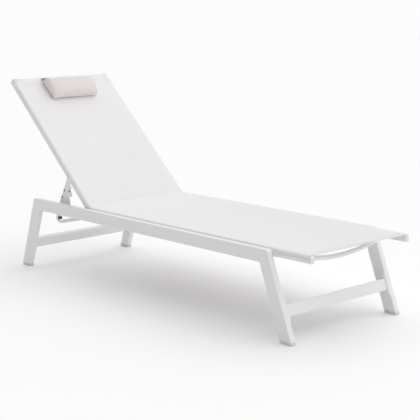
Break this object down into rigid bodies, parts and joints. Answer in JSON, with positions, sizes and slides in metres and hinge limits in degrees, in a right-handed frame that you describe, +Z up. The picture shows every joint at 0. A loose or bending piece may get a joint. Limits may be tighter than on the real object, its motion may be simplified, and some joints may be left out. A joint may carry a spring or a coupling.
{
  "type": "sun lounger",
  "caption": "Reclining sun lounger with a tubular aluminium frame, splayed legs, stretched mesh sling, adjustable backrest on a notched prop and a headrest pillow.",
  "frame": {"origin": "on the floor, under the middle of the lounger's overall length and width, with the backrest raised as at rest", "axes": "+X towards the foot end, +Y towards the left hand of a person lying on it, +Z up"},
  "size_m": [1.7577, 0.548, 0.8004],
  "materials": {
    "white_frame": "satin powder coat",
    "sling_fabric": "woven PVC-coated polyester mesh",
    "pillow_fabric": "matte woven cover",
    "foot_plastic": "matte",
    "cap_plastic": "matte",
    "rod_plastic": "matte",
    "bush_plastic": "matte",
    "dark_steel": "blackened",
    "stainless": "satin"
  },
  "bodies": {
    "frame": {"crossbar_bolts": "white_frame", "crossbar_plate_front_left": "white_frame", "crossbar_plate_front_right": "white_frame", "crossbar_plate_rear_left": "white_frame", "crossbar_plate_rear_right": "white_frame", "foot_cap_front_left": "foot_plastic", "foot_cap_front_right": "foot_plastic", "foot_cap_rear_left": "foot_plastic", "foot_cap_rear_right": "foot_plastic", "foot_spreader": "white_frame", "front_crossbar": "white_frame", "front_leg_left": "white_frame", "front_leg_right": "white_frame", "hinge_bolt_left": "stainless", "hinge_bolt_right": "stainless", "hinge_plate_left": "white_frame", "hinge_plate_right": "white_frame", "hinge_plate_screws": "stainless", "ratchet_pin_left": "white_frame", "ratchet_pin_right": "white_frame", "rear_crossbar": "white_frame", "rear_leg_left": "white_frame", "rear_leg_right": "white_frame", "seat_edge_rod_left": "rod_plastic", "seat_edge_rod_right": "rod_plastic", "seat_rail_cap_front_left": "cap_plastic", "seat_rail_cap_front_right": "cap_plastic", "seat_rail_cap_rear_left": "cap_plastic", "seat_rail_cap_rear_right": "cap_plastic", "seat_rail_left": "white_frame", "seat_rail_right": "white_frame", "seat_rear_spreader": "white_frame", "seat_sling": "sling_fabric", "seat_spacer_bolts": "stainless", "seat_spacers_left": "cap_plastic", "seat_spacers_right": "cap_plastic", "side_rail_left": "white_frame", "side_rail_right": "white_frame"},
    "backrest": {"back_edge_rod_left": "rod_plastic", "back_edge_rod_right": "rod_plastic", "back_lower_bar": "white_frame", "back_rail_cap_left": "cap_plastic", "back_rail_cap_right": "cap_plastic", "back_rail_left": "white_frame", "back_rail_right": "white_frame", "back_sling": "sling_fabric", "back_top_bar": "white_frame", "headrest_pillow": "pillow_fabric", "headrest_strap": "sling_fabric", "hinge_bush_left": "bush_plastic", "hinge_bush_right": "bush_plastic", "prop_pivot_bolts": "stainless", "prop_washers": "bush_plastic"},
    "prop": {"prop_plate_left": "white_frame", "prop_plate_right": "white_frame", "prop_rivets": "dark_steel", "prop_stop_left": "bush_plastic", "prop_stop_right": "bush_plastic", "prop_tube": "white_frame"}
  },
  "joints": [
    {"name": "back_hinge", "type": "hinge", "parent": "frame", "child": "backrest", "pos_m": [-0.3302, 0, 0.2905], "axis": [0, 1, 0], "range_deg": [-42.4, 18]},
    {"name": "prop_pivot", "type": "hinge", "parent": "backrest", "child": "prop", "pos_m": [-0.48293, 0, 0.42725], "axis": [0, 1, 0], "range_deg": [-18, 42.4]}
  ],
  "couplings": [
    {"joint": "prop_pivot", "follows": "back_hinge", "ratio": -1}
  ]
}
